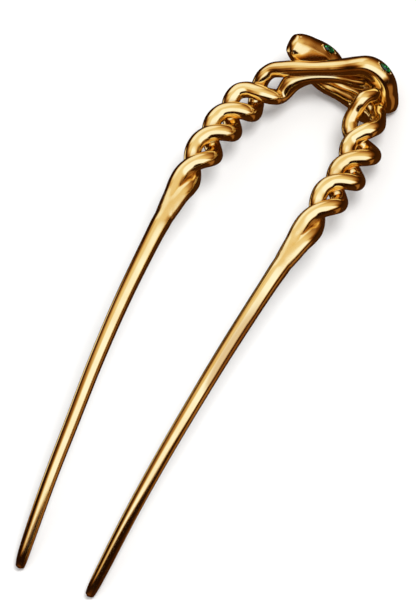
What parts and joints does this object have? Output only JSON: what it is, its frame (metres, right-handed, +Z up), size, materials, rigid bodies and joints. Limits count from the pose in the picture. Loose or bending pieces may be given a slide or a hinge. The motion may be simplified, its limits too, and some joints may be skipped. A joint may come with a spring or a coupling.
{
  "type": "hairpin",
  "caption": "Gold hairpin with open twisted legs on tapered prongs, and crossed snakes with green marquise eyes over the crown.",
  "frame": {"origin": "at the bottom of the bounding box and the middle of its length and width, on the floor the pin lies on", "axes": "+X across the two legs towards the right leg, +Y along the pin from its tips to its crown, +Z up, the outward side of the bow"},
  "size_m": [0.0358, 0.1201, 0.0135],
  "materials": {
    "gold": "high polish",
    "green_stone": "faceted and polished"
  },
  "bodies": {
    "root": {"pin": "gold", "front_right_eye": "green_stone", "front_left_eye": "green_stone", "back_right_eye": "green_stone", "back_left_eye": "green_stone"}
  },
  "joints": []
}
